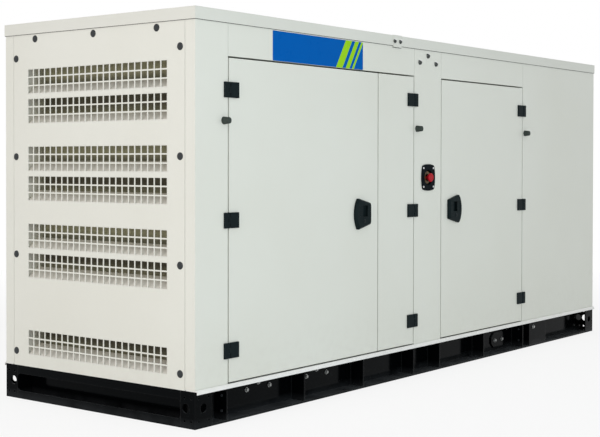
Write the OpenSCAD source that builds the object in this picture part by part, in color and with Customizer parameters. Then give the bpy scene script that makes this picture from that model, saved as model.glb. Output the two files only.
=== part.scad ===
// Canopied generator set: a sound-proofed sheet-steel canopy on a welded channel base frame.
// One side has a pair of unequal doors, a post with an emergency stop, and a single door.
// X runs along the set, the door side faces -Y, and the origin is on the ground at mid plan.

/* [Overall] */
// Length of the canopy
set_l = 3700; // [3500:10:4200]
// Width of the canopy, door side to back
set_w = 1160; // [1100:10:1400]
// Height from the ground to the top of the roof sheet
set_h = 1680; // [1600:10:1900]
// Thickness of the folded steel sheet
sheet_t = 2; // [1.5:0.5:3]
// Depth of the folded edges of the wall panels
pan_d = 40; // [35:1:45]
// Seam between two fixed panels
seam = 1.5; // [1:0.5:2]

/* [Base frame] */
// Height of the base frame
base_h = 150; // [140:5:200]
// Depth of the side channels, face to back of web
rail_d = 78; // [70:1:90]
// Thickness of the side channels' web
web_t = 6; // [5:1:8]
// Thickness of the channel flanges
flange_t = 9; // [7:1:12]
// Depth of the end channels, face to back of web
end_d = 89; // [80:1:100]
// Height of the lip that hangs from the end channels' upper flange
end_lip = 37; // [30:1:45]
// Height of the lip that stands on the end channels' lower flange
end_foot = 35; // [25:1:45]
// Radius of the corners of the slot between an end channel's lips
slot_r = 16; // [8:1:24]
// Length of a corner plate along the side
corner_l = 102; // [95:1:120]
// How far a corner plate reaches along the end, past the side channel
corner_past = 1; // [0.5:0.5:8]
// Thickness of the corner plates
corner_t = 6; // [5:1:8]
// Diameter of the lifting and lashing holes
eye_d = 38; // [30:1:42]
// Distance of a lifting hole from the corner
eye_in = 51; // [40:1:52]
// Height of the lifting holes
eye_z = 80; // [70:1:90]
// Diameter of the corner plates' bolt holes
bolt_d = 11; // [9:1:13]
// Distance of the bolt holes from the corner plates' upright edges
bolt_in = 21; // [19:1:22]
// Distance of the bolt holes from the corner plates' upper and lower edges
bolt_rise = 28; // [26:1:32]
// Thickness of the gusset plates in the side channels
gusset_t = 8; // [6:1:10]
// Set-back of the outer gussets from the doorway edges
gusset_in = 12; // [10:1:20]
// Distance of the second gusset from the wide doorway's left edge
gusset_2 = 507; // [450:1:560]
// Distance of the third gusset from the wide doorway's left edge
gusset_3 = 962; // [900:1:1020]
// Distance of the middle gusset below the single door from that doorway's left edge
gusset_4 = 446; // [400:1:500]
// Thickness of the floor plate
floor_t = 3; // [2:1:5]
// Width of a cross member
cross_w = 60; // [50:5:80]
// Height of a cross member
cross_h = 90; // [70:5:110]
// Wall thickness of a cross member
cross_t = 5; // [4:1:6]
// Number of cross members
cross_count = 6; // [4:1:8]
// Distance of the outer cross members from the ends
cross_in = 250; // [200:10:350]
// Length of the closed box bracket in the side channel
bracket_l = 207; // [150:1:240]
// Plate thickness of the box bracket
bracket_t = 5; // [4:1:8]
// Distance of the box bracket from the right doorway edge
bracket_in = 94; // [60:1:130]

/* [Sill and roof] */
// How far the sill strip stands out from the wall
sill_out = 12; // [8:1:16]
// How far the sill strip hangs below the top of the base frame
sill_drop = 11; // [8:1:16]
// How far the sill strip's upper lip stands above the base frame
sill_rise = 6; // [4:1:7]
// How far the sill's flange reaches in below the panels
sill_in = 48; // [44:1:50]
// Gap between the sill's lip and the panels' faces
sill_clear = 2.5; // [0.5:0.1:4]
// Height of the roof rim
rim_h = 50; // [40:1:60]
// How far the roof rim stands out from the wall
rim_out = 4; // [3:1:8]
// Width of the strip over the roof joint
strip_w = 70; // [60:1:90]
// Distance of the roof joint from the post, over the slim door
roof_joint_in = 158; // [100:1:250]
// How far the strip hangs below the roof rim
strip_drop = 7; // [4:1:10]

/* [Doors] */
// Left edge of the wide doorway, from the left end
wide_x = 200; // [170:1:260]
// Width of the wide leaf's share of the doorway
wide_w = 1084; // [950:1:1150]
// Width of the slim leaf's share of the doorway
slim_w = 316; // [280:1:380]
// Width of the post between the doorways
post_w = 260; // [230:1:300]
// Width of the single doorway
single_w = 887; // [750:1:950]
// Height of the header between the doors and the roof sheet
header_h = 186; // [150:1:230]
// Height of the bottom of the doorways above the base frame
door_rise = 8; // [8:1:14]
// Gap all round a door leaf
door_gap = 7; // [6:0.5:8]
// Depth of a door leaf
door_d = 28; // [26:1:30]
// Thickness of the foam lining in the doors
door_foam_t = 24; // [15:1:24]
// Thickness of the foam lining on fixed panels and roof
foam_t = 30; // [20:1:35]

/* [Hinges and stops] */
// Height of a hinge
hinge_h = 64; // [58:1:80]
// Width of the leaf on the door
hinge_door_w = 59; // [50:1:65]
// Width of the leaf on the post
hinge_post_w = 29; // [25:1:32]
// How far a hinge leaf stands out from the wall
hinge_t = 8; // [7:1:8]
// Distance of the pin's centre from the wall
pin_out = 5; // [4.8:0.1:5.2]
// Radius of the hinge knuckles
knuckle_r = 4.6; // [4:0.1:4.7]
// Radius of the hinge pin
pin_r = 2.5; // [2:0.1:3]
// Radial clearance of a pin in its hole
pin_clear = 0.1; // [0.05:0.01:0.1]
// Gap between a hinge's knuckles and its leaf plates
knuckle_gap = 2.9; // [2.5:0.1:3.5]
// Gap between two knuckles along the pin
knuckle_play = 0.5; // [0.3:0.1:1]
// Distance of the outer hinges' middles from the ends of the wide and single doors
hinge_in = 134; // [100:1:200]
// Distance of the outer hinges' middles from the ends of the slim door
slim_hinge_in = 118; // [100:1:200]
// Distance of a rubber stop from the edge of the doorway
stop_in = 28; // [26:1:30]
// Distance of the rubber stops below the upper hinges' middle
stop_drop = 126; // [80:1:300]
// Radius of a rubber stop at its foot
stop_r = 16; // [14:1:17]
// How much narrower a rubber stop is at its tip
stop_taper = 3; // [1:0.5:5]
// How far a rubber stop stands out from the wall
stop_out = 30; // [24:1:30]

/* [Door handles] */
// Distance of the wide doors' handles' middle from the door's free edge
handle_in = 137; // [110:1:160]
// Distance of the single doors' handles' middle from the door's free edge
single_handle_in = 125; // [110:1:160]
// Height of the handles' middle
handle_z = 822; // [780:1:900]
// Width of a handle housing
handle_w = 126; // [116:1:136]
// Height of a handle housing at its tall side, before that side is bowed
handle_tall = 158; // [150:1:170]
// Height of a handle housing at its short side
handle_short = 98; // [94:1:110]
// Radius of a handle housing's bowed tall side
handle_bow_r = 130; // [120:1:200]
// How far a handle housing stands out from the door
handle_out = 18; // [17:1:22]
// Height of a handle housing's bevelled edge
handle_bevel = 7; // [4:1:9]
// Width of the bevel, and the radius of the housing's corners
handle_round = 8; // [4:1:9]
// Width of the pocket in a handle housing
pocket_w = 70; // [66:1:74]
// Height of the pocket in a handle housing
pocket_h = 52; // [48:1:56]
// Height of the pocket's middle above the housing's middle
pocket_rise = 13; // [12:1:16]
// Distance of the pocket's middle from the housing's middle, towards the tall side
pocket_in = 6; // [0:1:8]
// Thickness of the pocket's floor
pocket_floor = 3; // [2:1:4]
// Thickness of a paddle
paddle_t = 5; // [4:0.5:6]
// Gap round a paddle at its hinged edge and ends
paddle_gap = 1; // [0.8:0.1:1.5]
// Finger gap between a paddle's free edge and the pocket's wall
finger_gap = 40; // [30:1:44]
// Depth of the pin's seats above and below the pocket
pin_seat = 4; // [3:0.5:5]
// Gap between the pin's ends and the seats' ends
pin_end_gap = 1; // [0.5:0.1:1.5]
// Radius of the lock's key cylinder
lock_r = 9; // [7:1:10]
// Distance of the lock below the housing's middle
lock_drop = 33; // [31:1:36]
// Distance of the lock from the housing's middle, towards the short side
lock_in = 0; // [-8:1:8]
// How far the lock stands out from the housing
lock_out = 1.5; // [1:0.5:3]
// Width of the key slot
key_w = 2; // [1.5:0.5:3]

/* [Emergency stop] */
// Distance of the stop's middle from the left edge of the post
stop_x = 131; // [110:1:150]
// Height of the emergency stop's middle
estop_z = 988; // [900:1:1100]
// Width of the bezel
bezel_w = 126; // [116:1:132]
// Height of the bezel
bezel_h = 134; // [124:1:150]
// How far the bezel stands out from the post
bezel_t = 5; // [4:1:12]
// Radius of the bezel's bowed sides
bezel_bow_r = 200; // [110:1:260]
// Width of the cut at the bezel's corners
bezel_cut = 11; // [6:1:14]
// Inner radius of the recess in the bezel
recess_r = 38; // [34:1:41]
// Depth of the recess behind the face of the post
recess_d = 20; // [16:1:24]
// Wall thickness of the recess
recess_t = 3; // [2:0.5:3]
// Radius of the push button's head
button_r = 22; // [20:1:25]
// How far the push button's head stands out from the post
button_out = 24; // [22:1:28]
// Bevel at the front of the button's head
button_bevel = 4; // [2:1:5]
// Thickness of the head's edge
button_edge = 4; // [3:1:6]
// Length of the head's flare, behind its edge
button_flare = 18; // [12:1:18]
// Radius of the button's stem
stem_r = 8; // [6:1:9]
// Radius of the bush that guides the stem
bush_r = 15; // [13:1:18]
// Length of the bush, in front of the recess's floor
bush_l = 8; // [6:1:9]
// Travel of the push button
button_travel = 4; // [3:1:5]

/* [End grilles] */
// Side of a square hole
hole = 31; // [26:1:33]
// Distance between the middles of two holes
pitch = 37.3; // [36:0.1:38]
// Columns of holes in a band
grille_cols = 23; // [10:1:23]
// Rows of holes in a band
grille_rows = 3; // [1:1:3]
// Distance from the roof's top to the highest band's upper edge
grille_top = 204; // [180:1:230]
// Distance between the two bands of a pair
band_pitch = 131.5; // [125:0.5:140]
// Height of the lowest band above the base frame
grille_foot = 54; // [45:1:80]
// Width of the wall returns round the corners
return_w = 54; // [50:1:60]
// Depth of the air box behind a grille
air_d = 100; // [80:5:150]
// Distance of the air box's cheeks from the ends of the bands
cheek_out = 6; // [4:1:20]
// Thickness of the air box's plates
cheek_t = 2; // [1.5:0.5:3]
// Depth of the sloping blade behind a band, from its front edge to its back edge
blade_d = 60; // [40:1:75]
// Rise of a blade from its front edge to its back edge
blade_h = 44; // [30:1:60]
// Gap between the air box's pieces, and between them and the end panel
fit_gap = 0.4; // [0.2:0.1:0.8]
// Height of the air's way over the foam boards
air_gap = 110; // [80:5:150]

/* [Hidden] */
$fn = 48;

half_gap = door_gap / 2;
corner_w = rail_d + corner_past;
slim_x = wide_x + wide_w;
post_x = slim_x + slim_w;
single_x = post_x + post_w;
right_x = single_x + single_w;
roof_joint_x = post_x - roof_joint_in;

panel_z = base_h + sheet_t;
wall_top = set_h - sheet_t;
door_z0 = base_h + door_rise;
door_z1 = wall_top - header_h;
leaf_h = door_z1 - door_z0 - door_gap;
stop_z = door_z1 - hinge_in - stop_drop;

gusset_xs = [
    wide_x - gusset_in, wide_x + gusset_2, wide_x + gusset_3, post_x,
    single_x - gusset_in, single_x + gusset_4, right_x + gusset_in
];
bracket_x = right_x + bracket_in;
cross_step = (set_l - 2 * cross_in - cross_w) / (cross_count - 1);
cross_xs = [for (i = [0:cross_count - 1]) cross_in + i * cross_step];

shell_white = "#e2e3db";
base_black = "#1b1f22";
fitting_black = "#24292b";
foam_grey = "#4a4740";
zinc_grey = "#c8cac6";

// ---- frames ----

// Puts a piece drawn from the left end and the door side's face into the set's own frame.
module at_front() translate([-set_l / 2, -set_w / 2, 0]) children();

// The same piece on the back, at the same distance from the left end.
module at_back() mirror([0, 1, 0]) at_front() children();

// The same piece at the right end of the door side.
module at_right() mirror([1, 0, 0]) at_front() children();

module at_both_sides() {
    at_front() children();
    at_back() children();
}

module at_both_ends() {
    at_front() children();
    at_right() children();
}

// ---- base frame ----

// A channel that opens towards -Y and runs along X.
module channel(l, d, h, web, flange) {
    difference() {
        cube([l, d, h]);
        translate([-1, -1, flange]) cube([l + 2, d - web + 1, h - 2 * flange]);
    }
}

module side_rail() {
    translate([corner_l, 0, 0]) channel(set_l - 2 * corner_l, rail_d, base_h, web_t, flange_t);
}

module base_rail_front() color(base_black) at_front() side_rail();

module base_rail_back() color(base_black) at_back() side_rail();

// A channel between the corners, whose flanges are turned to form lips round a long slot.
module end_beam() {
    l = set_w - 2 * corner_w;
    translate([0, set_w - corner_w, 0]) rotate([0, 0, -90]) {
        channel(l, end_d, base_h, web_t, flange_t);
        translate([0, corner_t, 0]) rotate([90, 0, 0]) linear_extrude(corner_t) difference() {
            square([l, base_h]);
            translate([0, end_foot]) offset(slot_r) offset(-slot_r) square([l, base_h - end_foot - end_lip]);
        }
    }
    // the web runs on behind the corner plates to the side channels
    translate([end_d - web_t, rail_d, 0]) cube([web_t, set_w - 2 * rail_d, base_h]);
}

module base_end_beams() color(base_black) at_both_ends() end_beam();

// The holes of a corner plate that stands on X, with its corner at the origin: an eye and four bolt holes.
module plate_holes(l) {
    translate([0, -1, 0]) rotate([-90, 0, 0]) {
        translate([eye_in, -eye_z]) cylinder(d = eye_d, h = corner_t + 2);
        for (x = [bolt_in, l - bolt_in]) for (z = [bolt_rise, base_h - bolt_rise])
            translate([x, -z]) cylinder(d = bolt_d, h = corner_t + 2);
    }
}

// An open box of plates in the line of the side channel, with an eye in each outer face.
module corner_box() {
    difference() {
        union() {
            channel(corner_l, rail_d, base_h, web_t, flange_t);
            cube([corner_l, corner_t, base_h]);
            cube([corner_t, corner_w, base_h]);
        }
        plate_holes(corner_l);
        mirror([1, -1, 0]) plate_holes(corner_w);
    }
}

module base_corners() color(base_black) {
    at_front() corner_box();
    at_right() corner_box();
    mirror([0, 1, 0]) {
        at_front() corner_box();
        at_right() corner_box();
    }
}

module base_gussets() color(base_black) at_both_sides() {
    for (x = gusset_xs) translate([x, 0, flange_t]) cube([gusset_t, rail_d - web_t, base_h - 2 * flange_t]);
}

// A plate folded back at both ends, which closes a stretch of the side channel.
module box_bracket() {
    translate([bracket_x, 0, flange_t]) difference() {
        cube([bracket_l, rail_d - web_t, base_h - 2 * flange_t]);
        translate([bracket_t, bracket_t, -1]) cube([bracket_l - 2 * bracket_t, rail_d, base_h]);
    }
}

module base_brackets() color(base_black) at_both_sides() box_bracket();

module base_cross_members() color(base_black) at_front() {
    for (x = cross_xs) translate([x, rail_d, base_h - cross_h]) difference() {
        cube([cross_w, set_w - 2 * rail_d, cross_h]);
        translate([cross_t, -1, -1]) cube([cross_w - 2 * cross_t, set_w, cross_h - cross_t + 1]);
    }
}

module floor_plate() color(base_black) at_front() {
    translate([pan_d + seam, sill_in + seam, base_h])
        cube([set_l - 2 * (pan_d + seam), set_w - 2 * (sill_in + seam), floor_t]);
}

// ---- canopy ----

module sill_strip() {
    translate([0, 0, base_h]) rotate([90, 0, 90]) linear_extrude(set_l) polygon([
        [-sill_out, -sill_drop], [sheet_t - sill_out, -sill_drop], [sheet_t - sill_out, 0], [sill_in, 0],
        [sill_in, sheet_t], [-sill_clear, sheet_t], [-sill_clear, sill_rise],
        [-sill_clear - sheet_t, sill_rise], [-sill_out, 0]
    ]);
}

module sill_strips() color(shell_white) at_both_sides() sill_strip();

// A tray of folded sheet: its face is on y = 0 and it opens towards +Y.
module tray(w, d, h) {
    difference() {
        cube([w, d, h]);
        translate([sheet_t, sheet_t, sheet_t]) cube([w - 2 * sheet_t, d, h - 2 * sheet_t]);
    }
}

// A wall panel that turns the corner of the canopy and ends in a folded edge on both faces.
module corner_panel(w) {
    h = wall_top - panel_z;
    translate([0, 0, panel_z]) difference() {
        linear_extrude(h) polygon([
            [0, 0], [w, 0], [w, pan_d], [pan_d, pan_d], [pan_d, return_w], [0, return_w]
        ]);
        translate([sheet_t, sheet_t, sheet_t])
            cube([w - 2 * sheet_t, return_w - 2 * sheet_t, h - 2 * sheet_t]);
    }
}

module left_panel() corner_panel(wide_x - half_gap);

module right_panel() corner_panel(set_l - right_x - half_gap);

module header(x0, x1) {
    translate([x0 - half_gap + seam, 0, door_z1 + half_gap])
        tray(x1 - x0 + door_gap - 2 * seam, pan_d, header_h - half_gap);
}

module wide_header() header(wide_x, post_x);

module single_header() header(single_x, right_x);

module post_panel() {
    translate([post_x + half_gap, 0, panel_z]) tray(post_w - door_gap, pan_d, wall_top - panel_z);
}

module front_left_panel() color(shell_white) at_front() left_panel();

module front_right_panel() color(shell_white) at_right() right_panel();

module front_wide_header() color(shell_white) at_front() wide_header();

module front_single_header() color(shell_white) at_front() single_header();

module front_centre_post() color(shell_white) at_front() difference() {
    post_panel();
    at_estop() translate([0, 0, -1]) cylinder(r = recess_r + recess_t + seam, h = sheet_t + 2);
}

module back_left_panel() color(shell_white) at_back() left_panel();

module back_right_panel() color(shell_white) mirror([0, 1, 0]) at_right() right_panel();

module back_wide_header() color(shell_white) at_back() wide_header();

module back_single_header() color(shell_white) at_back() single_header();

module back_centre_post() color(shell_white) at_back() post_panel();

// Foam sheets that fill the trays of the fixed panels.
module foam(x0, x1, z0, z1) {
    e = sheet_t + seam;
    translate([x0 + e, sheet_t, z0 + e]) cube([x1 - x0 - 2 * e, foam_t, z1 - z0 - 2 * e]);
}

module side_foam() {
    foam(pan_d + seam, wide_x - half_gap, panel_z, wall_top);
    foam(wide_x, post_x, door_z1 + half_gap, wall_top);
    foam(post_x + half_gap, single_x - half_gap, panel_z, wall_top);
    foam(single_x, right_x, door_z1 + half_gap, wall_top);
    foam(right_x + half_gap, set_l - pan_d - seam, panel_z, wall_top);
}

module wall_lining() color(foam_grey) {
    at_front() difference() {
        side_foam();
        at_estop() cylinder(r = recess_r + recess_t + seam, h = foam_t + 2 * sheet_t);
    }
    at_back() side_foam();
}

module roof_foam(x0, x1) {
    translate([x0, pan_d + seam, wall_top - foam_t]) cube([x1 - x0, set_w - 2 * (pan_d + seam), foam_t]);
}

module roof_lining() color(foam_grey) at_front() {
    roof_foam(pan_d + seam, roof_joint_x - sheet_t - seam);
    roof_foam(roof_joint_x + sheet_t + seam, set_l - pan_d - seam);
}

// A roof tray that opens downwards: its rim laps the walls on three sides.
module roof_tray(l) {
    difference() {
        translate([-rim_out, -rim_out, set_h - rim_h]) cube([l + rim_out, set_w + 2 * rim_out, rim_h]);
        translate([sheet_t - rim_out, sheet_t - rim_out, set_h - rim_h - 1])
            cube([l - 2 * sheet_t + rim_out, set_w + 2 * (rim_out - sheet_t), rim_h + 1 - sheet_t]);
        // the joint edge is folded down between the walls
        for (y = [-rim_out - 1, set_w - pan_d - seam])
            translate([l - sheet_t - 1, y, set_h - rim_h - 1])
                cube([sheet_t + 2, pan_d + seam + rim_out + 1, rim_h + 1 - sheet_t]);
    }
}

module roof_left() color(shell_white) at_front() roof_tray(roof_joint_x - seam / 2);

module roof_right() color(shell_white) at_right() roof_tray(set_l - roof_joint_x - seam / 2);

module roof_joint_strip() color(shell_white) at_front() {
    h = rim_h + strip_drop;
    translate([roof_joint_x - strip_w / 2, -rim_out - sheet_t, set_h - h]) difference() {
        cube([strip_w, set_w + 2 * (rim_out + sheet_t), h + sheet_t]);
        translate([-1, sheet_t, -1]) cube([strip_w + 2, set_w + 2 * rim_out, h + 1]);
    }
}

// ---- end panels and grilles ----

end_w = set_w - 2 * (return_w + seam);
end_h = wall_top - base_h;
strip_h = grille_rows * pitch;
strip_l = grille_cols * pitch;

// Lower edges of the bands in the end panel: four pairs, of which the lowest lacks its upper band.
top_z = set_h - base_h - grille_top - strip_h;
pair_pitch = (top_z - band_pitch - grille_foot) / 3;
band_zs = [
    for (pair = [0:3]) for (band = [0:1])
    if (pair < 3 || band == 1) top_z - pair * pair_pitch - band * band_pitch
];

// Draws in the end panel's own plane, with its lower corner as the origin, and makes it sheet.
module end_sheet() {
    translate([0, return_w + seam, base_h]) rotate([90, 0, 90]) linear_extrude(sheet_t) children();
}

module at_bands() for (z = band_zs) translate([(end_w - strip_l) / 2, z]) children();

module end_panel() {
    end_sheet() difference() {
        square([end_w, end_h]);
        at_bands() square([strip_l, strip_h]);
    }
    translate([0, return_w + seam, base_h]) difference() {
        cube([pan_d, end_w, end_h]);
        translate([-1, sheet_t, sheet_t]) cube([pan_d + 2, end_w - 2 * sheet_t, end_h - 2 * sheet_t]);
    }
}

// Perforated strips, let flush into the panel's windows.
module end_grille() {
    rim = (pitch - hole) / 2;
    end_sheet() at_bands() difference() {
        square([strip_l, strip_h]);
        for (col = [0:grille_cols - 1]) for (row = [0:grille_rows - 1])
            translate([rim + col * pitch, rim + row * pitch]) square(hole);
    }
}

module end_panel_left() color(shell_white) at_front() end_panel();

module end_panel_right() color(shell_white) at_right() end_panel();

module end_grille_left() color(shell_white) at_front() end_grille();

module end_grille_right() color(shell_white) at_right() end_grille();

// The air box: two upright cheeks beside the bands, sloping blades between them, and a foam board.
box_x = sheet_t + fit_gap;
box_y = (set_w - strip_l) / 2 - cheek_out;
box_w = strip_l + 2 * cheek_out;
box_z = base_h + floor_t;
lining_z = wall_top - foam_t;

module air_box() {
    for (y = [box_y - cheek_t, box_y + box_w]) translate([box_x, y, box_z])
        cube([air_d + foam_t, cheek_t, lining_z - seam - box_z]);
}

// Behind each band, a blade that rises inwards from the band's lower edge and throws rain out.
module air_blades() {
    for (z = band_zs) translate([box_x, box_y + box_w - fit_gap, base_h + z]) rotate([90, 0, 0])
        linear_extrude(box_w - 2 * fit_gap)
            polygon([[0, 0], [blade_d, blade_h], [blade_d, blade_h + cheek_t], [0, cheek_t]]);
}

// Foam boards between the air boxes and the inside: the air passes over them.
module air_baffles() color(foam_grey) at_both_ends() {
    translate([box_x + air_d, box_y + fit_gap, box_z])
        cube([foam_t, box_w - 2 * fit_gap, lining_z - air_gap - box_z]);
}

module air_box_left() color(zinc_grey) at_front() air_box();

module air_box_right() color(zinc_grey) at_right() air_box();

module air_blades_left() color(zinc_grey) at_front() air_blades();

module air_blades_right() color(zinc_grey) at_right() air_blades();

// ---- doors ----

module leaf(x, w) {
    translate([x + half_gap, 0, door_z0 + half_gap]) tray(w - door_gap, door_d, leaf_h);
}

module leaf_foam(x, w) {
    e = half_gap + sheet_t + seam;
    translate([x + e, sheet_t, door_z0 + e]) cube([w - 2 * e, door_foam_t, leaf_h + door_gap - 2 * e]);
}

module wide_door() color(shell_white) at_front() leaf(wide_x, wide_w);

module wide_door_lining() color(foam_grey) at_front() leaf_foam(wide_x, wide_w);

module slim_door() color(shell_white) at_front() leaf(slim_x, slim_w);

module slim_door_lining() color(foam_grey) at_front() leaf_foam(slim_x, slim_w);

module single_door() color(shell_white) at_front() leaf(single_x, single_w);

module single_door_lining() color(foam_grey) at_front() leaf_foam(single_x, single_w);

module back_doors() color(shell_white) at_back() {
    leaf(wide_x, wide_w);
    leaf(slim_x, slim_w);
    leaf(single_x, single_w);
}

// Hinges: the pin stands on z, the door is towards +X and the wall's face is y = pin_out.
knuckle_h = hinge_h / 3;
leaf_root = knuckle_r + knuckle_gap;

module post_leaf() {
    translate([-hinge_post_w, pin_out - hinge_t, -hinge_h / 2])
        cube([hinge_post_w - leaf_root, hinge_t, hinge_h]);
    for (z = [-hinge_h / 2, knuckle_h / 2]) translate([0, 0, z]) {
        cylinder(r = knuckle_r, h = knuckle_h);
        translate([-leaf_root, -pin_r, 0]) cube([leaf_root, 2 * pin_r, knuckle_h]);
    }
    translate([0, 0, -hinge_h / 2]) cylinder(r = pin_r, h = hinge_h);
}

module door_leaf() {
    h = knuckle_h - 2 * knuckle_play;
    difference() {
        union() {
            translate([leaf_root, pin_out - hinge_t, -hinge_h / 2])
                cube([hinge_door_w - leaf_root, hinge_t, hinge_h]);
            translate([0, 0, -h / 2]) {
                cylinder(r = knuckle_r, h = h);
                translate([0, -pin_r, 0]) cube([leaf_root, 2 * pin_r, h]);
            }
        }
        translate([0, 0, -h]) cylinder(r = pin_r + pin_clear, h = 2 * h);
    }
}

// Three hinges on a doorway's left edge, or on its right edge with side = -1.
module at_hinges(x, side, inset = hinge_in) {
    for (z = [door_z0 + inset, (door_z0 + door_z1) / 2, door_z1 - inset])
        translate([x, -pin_out, z]) scale([side, 1, 1]) children();
}

module wide_door_hinges() color(fitting_black) at_front() at_hinges(wide_x, 1) door_leaf();

module slim_door_hinges() color(fitting_black) at_front() at_hinges(post_x, -1, slim_hinge_in) door_leaf();

module single_door_hinges() color(fitting_black) at_front() at_hinges(right_x, -1) door_leaf();

module all_hinges() {
    at_hinges(wide_x, 1) children();
    at_hinges(post_x, -1, slim_hinge_in) children();
    at_hinges(right_x, -1) children();
}

module post_hinge_leaves() color(fitting_black) at_front() all_hinges() post_leaf();

module back_hinges() color(fitting_black) at_back() all_hinges() {
    post_leaf();
    door_leaf();
}

module rubber_stops() color("#3e4642") at_both_sides() {
    for (x = [wide_x - stop_in, post_x + stop_in, right_x + stop_in])
        translate([x, 0, stop_z]) rotate([90, 0, 0])
            cylinder(r1 = stop_r, r2 = stop_r - stop_taper, h = stop_out);
}

// ---- door handles ----
// A handle is drawn with its tall side towards -X, its back on z = 0 and its front up.

module handle_outline(inset) {
    offset(r = handle_round) offset(delta = -handle_round - inset) intersection() {
        polygon([
            [-handle_w / 2, -handle_tall / 2], [handle_w / 2, -handle_short / 2],
            [handle_w / 2, handle_short / 2], [-handle_w / 2, handle_tall / 2]
        ]);
        translate([handle_bow_r - handle_w / 2, 0]) circle(r = handle_bow_r);
    }
}

paddle_w = pocket_w - finger_gap - paddle_gap;
paddle_z = handle_out - paddle_t / 2 - 1;

pocket_x = -pocket_in - pocket_w / 2;

// The pin's centre, with z along the pin.
module at_paddle_pin()
    translate([pocket_x + paddle_gap + paddle_t / 2, pocket_rise, paddle_z]) rotate([90, 0, 0]) children();

module at_lock() translate([lock_in, -lock_drop, 0]) children();

// A bevelled housing with a pocket for the paddle, and the lock's key cylinder below it.
module handle_housing() {
    difference() {
        union() {
            hull() {
                linear_extrude(handle_out - handle_bevel) handle_outline(0);
                linear_extrude(handle_out) handle_outline(handle_round);
            }
            at_lock() cylinder(r = lock_r, h = handle_out + lock_out);
        }
        translate([pocket_x, pocket_rise - pocket_h / 2, pocket_floor])
            cube([pocket_w, pocket_h, handle_out]);
        at_paddle_pin() cylinder(r = pin_r / 2 + pin_clear, h = pocket_h + 2 * pin_seat, center = true);
        at_lock() translate([-key_w / 2, -lock_r / 2, handle_out - lock_out])
            cube([key_w, lock_r, 3 * lock_out]);
    }
}

module paddle() {
    l = pocket_h - 2 * paddle_gap;
    at_paddle_pin() {
        cylinder(r = pin_r / 2, h = pocket_h + 2 * (pin_seat - pin_end_gap), center = true);
        cylinder(d = paddle_t, h = l, center = true);
        translate([0, -paddle_t / 2, -l / 2]) cube([paddle_w - paddle_t / 2, paddle_t, l]);
    }
}

// Places a handle on a door: side = 1 with its short side towards +X.
module at_handle(x, side) translate([x, 0, handle_z]) scale([side, 1, 1]) rotate([90, 0, 0]) children();

module at_wide_handle() at_handle(slim_x - handle_in, 1) children();

module at_single_handle() at_handle(single_x + single_handle_in, -1) children();

module wide_door_handle() color(fitting_black) at_front() at_wide_handle() handle_housing();

module wide_door_paddle() color(fitting_black) at_front() at_wide_handle() paddle();

module single_door_handle() color(fitting_black) at_front() at_single_handle() handle_housing();

module single_door_paddle() color(fitting_black) at_front() at_single_handle() paddle();

module back_handles() color(fitting_black) at_back() {
    at_wide_handle() { handle_housing(); paddle(); }
    at_single_handle() { handle_housing(); paddle(); }
}

// ---- emergency stop ----
// Drawn with the post's face on z = 0 and z pointing into the canopy.

module at_estop() translate([post_x + stop_x, 0, estop_z]) rotate([-90, 0, 0]) children();

module bezel_outline() {
    intersection() {
        square([bezel_w, bezel_h], center = true);
        circle(r = bezel_h / 2 + bezel_cut);
        intersection_for(side = [-1, 1]) translate([side * (bezel_bow_r - bezel_w / 2), 0])
            circle(r = bezel_bow_r);
        intersection_for(side = [-1, 1]) translate([0, side * (bezel_bow_r - bezel_h / 2)])
            circle(r = bezel_bow_r);
    }
}

module estop_bezel() color(fitting_black) at_front() at_estop() {
    difference() {
        union() {
            translate([0, 0, -bezel_t]) linear_extrude(bezel_t) bezel_outline();
            cylinder(r = recess_r + recess_t, h = recess_d + recess_t);
        }
        translate([0, 0, -bezel_t - 1]) cylinder(r = recess_r, h = bezel_t + 1 + recess_d);
        translate([0, 0, recess_d - 1]) cylinder(r = stem_r + pin_clear, h = recess_t + 2);
    }
    // the bush that guides the button's stem
    translate([0, 0, recess_d - bush_l]) difference() {
        cylinder(r = bush_r, h = bush_l);
        translate([0, 0, -1]) cylinder(r = stem_r + pin_clear, h = bush_l + 2);
    }
}

// A flared mushroom head with a bevelled rim, on a stem that slides in the bush.
module estop_button() color("#b22028") at_front() at_estop() {
    rim = button_out - button_bevel;
    neck = button_out - button_bevel - button_edge - button_flare;
    foot = recess_d - 1 - button_travel;
    rotate_extrude() polygon([
        [0, -button_out], [button_r - button_bevel, -button_out], [button_r, -rim],
        [button_r, button_edge - rim], [stem_r + 3, -neck], [stem_r, -neck], [stem_r, foot], [0, foot]
    ]);
}

base_rail_front();
base_rail_back();
base_end_beams();
base_corners();
base_gussets();
base_brackets();
base_cross_members();
floor_plate();
sill_strips();
front_left_panel();
front_wide_header();
front_centre_post();
front_single_header();
front_right_panel();
back_left_panel();
back_wide_header();
back_centre_post();
back_single_header();
back_right_panel();
end_panel_left();
end_panel_right();
end_grille_left();
end_grille_right();
air_box_left();
air_box_right();
air_blades_left();
air_blades_right();
air_baffles();
wall_lining();
roof_lining();
roof_left();
roof_right();
roof_joint_strip();
back_doors();
back_hinges();
back_handles();
rubber_stops();
post_hinge_leaves();
estop_bezel();
estop_button();
wide_door();
wide_door_lining();
wide_door_hinges();
wide_door_handle();
wide_door_paddle();
slim_door();
slim_door_lining();
slim_door_hinges();
single_door();
single_door_lining();
single_door_hinges();
single_door_handle();
single_door_paddle();
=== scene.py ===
import math
import re

import bmesh
import bpy
from mathutils import Matrix, Vector


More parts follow.
